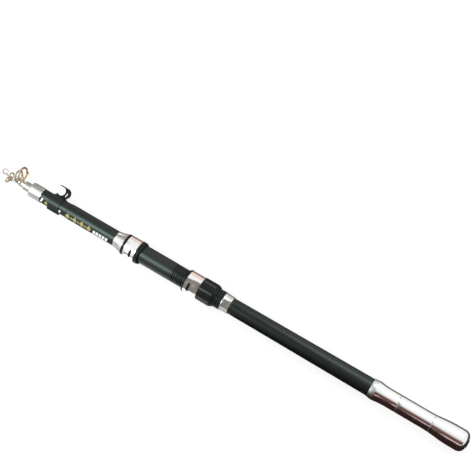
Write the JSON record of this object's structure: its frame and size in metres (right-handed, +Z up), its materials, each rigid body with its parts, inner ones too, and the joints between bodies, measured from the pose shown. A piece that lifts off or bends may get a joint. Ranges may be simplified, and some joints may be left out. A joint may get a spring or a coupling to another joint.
{
  "type": "telescopic fishing rod",
  "caption": "Closed telescopic fishing rod with turned metal handle, screw-down reel seat, hook keeper and nested tapered sections with ring guides.",
  "frame": {"origin": "middle of the flat face of the plug in the butt end, on the rod's axis", "axes": "+X along the rod towards its tip, +Z up with the rod lying on a table as pictured, +Y towards the viewer's side"},
  "size_m": [0.5963, 0.0343, 0.0365],
  "materials": {
    "turned_aluminium": "bright turned",
    "bright_steel": "polished",
    "guide_steel": "bright",
    "ring_gold": "polished gold colour",
    "ring_pale": "polished",
    "gloss_black": "gloss lacquer",
    "seat_black": "satin",
    "clip_black": "satin",
    "inner_plastic": "plain",
    "soft_rubber": "matt"
  },
  "bodies": {
    "butt": {"butt_handle": "turned_aluminium", "butt_button": "soft_rubber", "butt_spigot": "inner_plastic", "section_cushion": "soft_rubber", "butt_section": "gloss_black", "rear_trim_ring": "turned_aluminium", "reel_seat_tube": "seat_black", "fixed_hood": "bright_steel", "fixed_hood_liner": "seat_black", "front_trim_ring": "seat_black", "front_trim_cone": "turned_aluminium", "front_sleeve": "gloss_black", "mouth_ferrule": "turned_aluminium"},
    "hood_slider": {"sliding_hood": "bright_steel", "sliding_hood_liner": "seat_black"},
    "nut": {"lock_nut": "seat_black"},
    "keeper": {"hook_keeper": "clip_black"},
    "section_2": {"second_section": "gloss_black", "second_guide_frame": "guide_steel", "second_guide_ring": "ring_gold"},
    "section_3": {"third_section": "gloss_black", "third_guide_frame": "guide_steel", "third_guide_ring": "ring_gold"},
    "section_4": {"fourth_section": "gloss_black", "fourth_guide_frame": "guide_steel", "fourth_guide_ring": "ring_gold"},
    "section_5": {"fifth_section": "gloss_black", "fifth_guide_frame": "guide_steel", "fifth_guide_ring": "ring_gold"},
    "section_6": {"tip_section": "gloss_black", "tip_top_frame": "guide_steel", "tip_top_ring": "ring_pale"},
    "floating_guide": {"floating_guide_frame": "guide_steel", "floating_guide_ring": "ring_gold"}
  },
  "joints": [
    {"name": "hood_slide", "type": "slide", "parent": "butt", "child": "hood_slider", "axis": [1, 0, 0], "range_m": [-0.0061, 0.0241]},
    {"name": "nut_turn", "type": "hinge", "parent": "hood_slider", "child": "nut", "pos_m": [0.3185, 0, 0], "axis": [1, 0, 0], "range_deg": [-864, 3456]},
    {"name": "keeper_turn", "type": "hinge", "parent": "butt", "child": "keeper", "pos_m": [0.5215, 0, 0], "axis": [1, 0, 0], "continuous": true},
    {"name": "draw_2", "type": "slide", "parent": "butt", "child": "section_2", "axis": [1, 0, 0], "range_m": [0, 0.36]},
    {"name": "draw_3", "type": "slide", "parent": "section_2", "child": "section_3", "axis": [1, 0, 0], "range_m": [0, 0.36]},
    {"name": "draw_4", "type": "slide", "parent": "section_3", "child": "section_4", "axis": [1, 0, 0], "range_m": [0, 0.36]},
    {"name": "draw_5", "type": "slide", "parent": "section_4", "child": "section_5", "axis": [1, 0, 0], "range_m": [0, 0.36]},
    {"name": "draw_6", "type": "slide", "parent": "section_5", "child": "section_6", "axis": [1, 0, 0], "range_m": [0, 0.36]},
    {"name": "float_slide", "type": "slide", "parent": "section_6", "child": "floating_guide", "axis": [1, 0, 0], "range_m": [-0.171, 0]}
  ],
  "couplings": [
    {"joint": "hood_slide", "follows": "nut_turn", "m_per_rad": 0.00039789},
    {"joint": "float_slide", "follows": "draw_6", "ratio": -0.4722}
  ]
}
